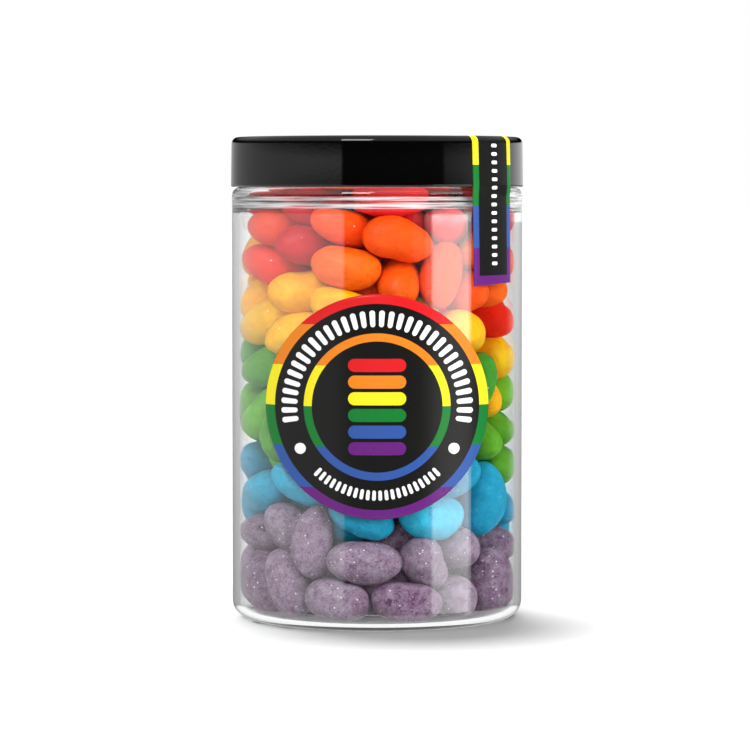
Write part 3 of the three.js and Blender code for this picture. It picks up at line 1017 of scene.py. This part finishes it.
def make_floor():
    material, tree, output = new_material("studio_floor")
    diffuse = node(tree, "ShaderNodeBsdfDiffuse", Color=(*[FLOOR_WHITENESS] * 3, 1))
    open_floor = node(tree, "ShaderNodeBsdfTransparent")
    mirrored = is_mirrored(tree)
    mixed = node(tree, "ShaderNodeMixShader", _0=mirrored, _1=diffuse.outputs[0], _2=open_floor.outputs[0])
    connect(tree, output.inputs["Surface"], mixed.outputs[0])
    size = FLOOR_REACH
    corners = [(-size, -size, 0), (size, -size, 0), (size, size, 0), (-size, size, 0)]
    floor = make_object("studio_floor", corners, [(0, 1, 2, 3)], [material])


def card_brightness(tree, cards, azimuth):
    """The brightness of a ring of cards at an azimuth in radians."""
    most = max(brightness for _, brightness in cards)
    ramp = tree.nodes.new("ShaderNodeValToRGB")
    stops = ramp.color_ramp.elements
    while len(stops) < len(cards):
        stops.new(1.0)
    for stop, (angle, brightness) in zip(stops, cards):
        stop.position = angle / 360 + 0.5
        stop.color = (*[brightness / most] * 3, 1)
    connect(tree, ramp.inputs[0], spread(tree, azimuth, -math.pi, math.pi, 0, 1))
    return math_node(tree, "MULTIPLY", ramp.outputs[0], most)


def mirrored_studio(tree):
    """How bright the studio is in a reflection: the cards all round, a white ceiling, and the white floor."""
    direction = node(tree, "ShaderNodeTexCoord").outputs["Generated"]
    x, y, up = node(tree, "ShaderNodeSeparateXYZ", Vector=direction).outputs
    azimuth = math_node(tree, "ARCTAN2", x, math_node(tree, "MULTIPLY", y, -1.0))
    low = card_brightness(tree, CARDS, azimuth)
    high = card_brightness(tree, HIGH_CARDS, azimuth)
    is_high = math_node(tree, "GREATER_THAN", up, CARD_TOP)
    cards = node(tree, "ShaderNodeMix", _0=is_high, _2=low, _3=high).outputs[0]
    off_level = math_node(tree, "ABSOLUTE", math_node(tree, "SUBTRACT", up, LEVEL))
    on_right = math_node(tree, "GREATER_THAN", azimuth, 0.0)
    rim = math_node(tree, "MULTIPLY", between(tree, up, *CARD_RIM), on_right)
    brighter = math_node(tree, "ADD", 1, math_node(tree, "MULTIPLY", rim, RIM_EXTRA))
    fade = spread(tree, off_level, CARD_REACH, CARD_REACH + CARD_FADE, 1, 0)
    for factor in (brighter, fade, spread(tree, up, *CARD_DIMMING)):
        cards = math_node(tree, "MULTIPLY", cards, factor)
    return either(tree, cards, spread(tree, up, *CEILING), spread(tree, up, *GROUND))


def make_world():
    """White wherever it is looked at straight, and a studio of its own wherever a reflection meets it."""
    world = bpy.data.worlds.new("studio")
    world.use_nodes = True
    bpy.context.scene.world = world
    tree = world.node_tree
    tree.nodes.clear()
    path = node(tree, "ShaderNodeLightPath")
    straight = math_node(tree, "MAXIMUM", path.outputs["Is Camera Ray"], path.outputs["Is Transmission Ray"])
    plain = spread(tree, straight, 0, 1, DAYLIGHT, 1)
    mirrored = is_mirrored(tree)
    keep = math_node(tree, "MULTIPLY", math_node(tree, "SUBTRACT", 1, mirrored), plain)
    seen = math_node(tree, "MULTIPLY", mirrored, mirrored_studio(tree))
    strength = math_node(tree, "ADD", keep, seen)
    background = node(tree, "ShaderNodeBackground", Color=(1, 1, 1, 1), Strength=strength)
    output = node(tree, "ShaderNodeOutputWorld")
    connect(tree, output.inputs["Surface"], background.outputs[0])


def aimed(name, data, location, target):
    """A lamp that lights but doesn't show: not in the camera, in glass, or, unless set later, mirrored."""
    light = bpy.data.objects.new(name, data)
    bpy.context.scene.collection.objects.link(light)
    light.location = location
    light.rotation_euler = (Vector(target) - Vector(location)).to_track_quat("-Z", "Y").to_euler()
    light.visible_camera = False
    light.visible_transmission = False
    light.visible_glossy = False
    return light


# The lamps that fill in the front: name, size, power and place, in metres and watts.
FILLS = [
    ("front_fill", 0.7, 13, (-0.45, -1.4, 1.25)),
    ("right_fill", 0.8, 23, (1.45, -0.7, 0.5)),
    ("low_fill", 0.6, 5, (-0.1, -1.6, 0.2)),
]


def make_lights():
    high = bpy.data.lights.new("high_light", "SUN")
    high.energy = 7.2
    high.angle = math.radians(17)
    aimed("high_light", high, (-0.3, 0.7, 3.2), (0, 0, 0))
    for name, size, energy, place in FILLS:
        fill = bpy.data.lights.new(name, "AREA")
        fill.size = size
        fill.energy = energy
        aimed(name, fill, place, (0, 0, 0.07)).visible_glossy = name == "front_fill"


CAMERA_DISTANCE = 1.0
CAMERA_HEIGHT = 0.1262  # level with the lid's lower edge
CAMERA_ASIDE = -0.0006
CAMERA_PITCH = math.radians(3.17)  # downwards
CAMERA_LENS = 163.6


def make_camera():
    data = bpy.data.cameras.new("camera")
    data.lens = CAMERA_LENS
    data.sensor_width = 36
    data.clip_end = 100
    camera = bpy.data.objects.new("camera", data)
    bpy.context.scene.collection.objects.link(camera)
    camera.location = (CAMERA_ASIDE, -CAMERA_DISTANCE, CAMERA_HEIGHT)
    camera.rotation_euler = (math.pi / 2 - CAMERA_PITCH, 0, 0)
    bpy.context.scene.camera = camera


make_floor()
make_world()
make_lights()
make_camera()
bpy.context.scene.view_settings.view_transform = "Standard"
